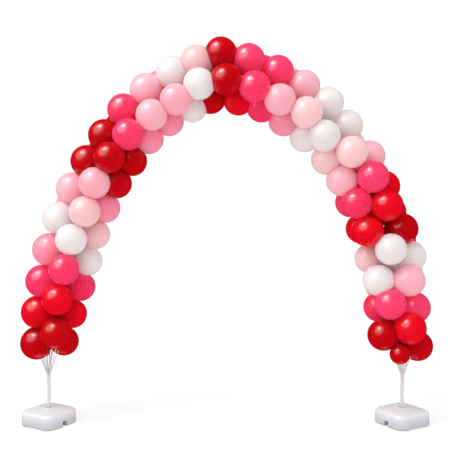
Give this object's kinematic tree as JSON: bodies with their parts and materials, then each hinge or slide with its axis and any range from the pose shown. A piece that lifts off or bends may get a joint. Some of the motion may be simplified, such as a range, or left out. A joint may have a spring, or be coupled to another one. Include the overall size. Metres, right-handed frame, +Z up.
{
  "type": "floating balloon arch",
  "caption": "Helium balloon garland in reds, pinks and white that rises from one weight, over a crown, to another, held by fanned strands.",
  "frame": {"origin": "on the floor, midway between the two weights, in the middle of the arch's depth", "axes": "+X along the arch from the left weight to the right one, -Y is its front, +Z up"},
  "size_m": [3.8146, 0.6678, 3.5534],
  "materials": {
    "deep_red": "gloss",
    "bright_red": "gloss",
    "hot_pink": "gloss",
    "rose_pink": "gloss",
    "light_pink": "gloss",
    "blush": "gloss",
    "pearl_white": "gloss",
    "weight_plastic": "satin",
    "strand_white": "satin"
  },
  "bodies": {
    "root": {"inner_front_pair_01": "deep_red", "inner_front_pair_02": "bright_red", "inner_front_pair_03": "hot_pink", "inner_front_pair_04": "pearl_white", "inner_front_pair_05": "blush", "inner_front_pair_06": "rose_pink", "inner_front_pair_07": "deep_red", "inner_front_pair_08": "deep_red", "inner_front_pair_09": "rose_pink", "inner_front_pair_10": "rose_pink", "inner_front_pair_11": "pearl_white", "inner_front_pair_12": "deep_red", "inner_front_pair_13": "bright_red", "inner_front_pair_14": "hot_pink", "inner_front_pair_15": "rose_pink", "inner_front_pair_16": "pearl_white", "inner_front_pair_17": "blush", "inner_front_pair_18": "light_pink", "inner_front_pair_19": "hot_pink", "inner_front_pair_20": "bright_red", "inner_front_pair_21": "pearl_white", "inner_front_pair_22": "pearl_white", "inner_front_pair_23": "hot_pink", "inner_front_pair_24": "deep_red", "outer_back_pair_01": "deep_red", "outer_back_pair_02": "bright_red", "outer_back_pair_03": "hot_pink", "outer_back_pair_04": "rose_pink", "outer_back_pair_05": "pearl_white", "outer_back_pair_06": "light_pink", "outer_back_pair_07": "deep_red", "outer_back_pair_08": "deep_red", "outer_back_pair_09": "hot_pink", "outer_back_pair_10": "light_pink", "outer_back_pair_11": "pearl_white", "outer_back_pair_12": "blush", "outer_back_pair_13": "deep_red", "outer_back_pair_14": "hot_pink", "outer_back_pair_15": "hot_pink", "outer_back_pair_16": "light_pink", "outer_back_pair_17": "pearl_white", "outer_back_pair_18": "pearl_white", "outer_back_pair_19": "light_pink", "outer_back_pair_20": "bright_red", "outer_back_pair_21": "bright_red", "outer_back_pair_22": "bright_red", "outer_back_pair_23": "pearl_white", "outer_back_pair_24": "blush", "outer_back_pair_25": "hot_pink", "outer_back_pair_26": "deep_red", "small_balloon": "deep_red", "left_base": "weight_plastic", "left_strands": "strand_white", "right_base": "weight_plastic", "right_strands": "strand_white"}
  },
  "joints": []
}
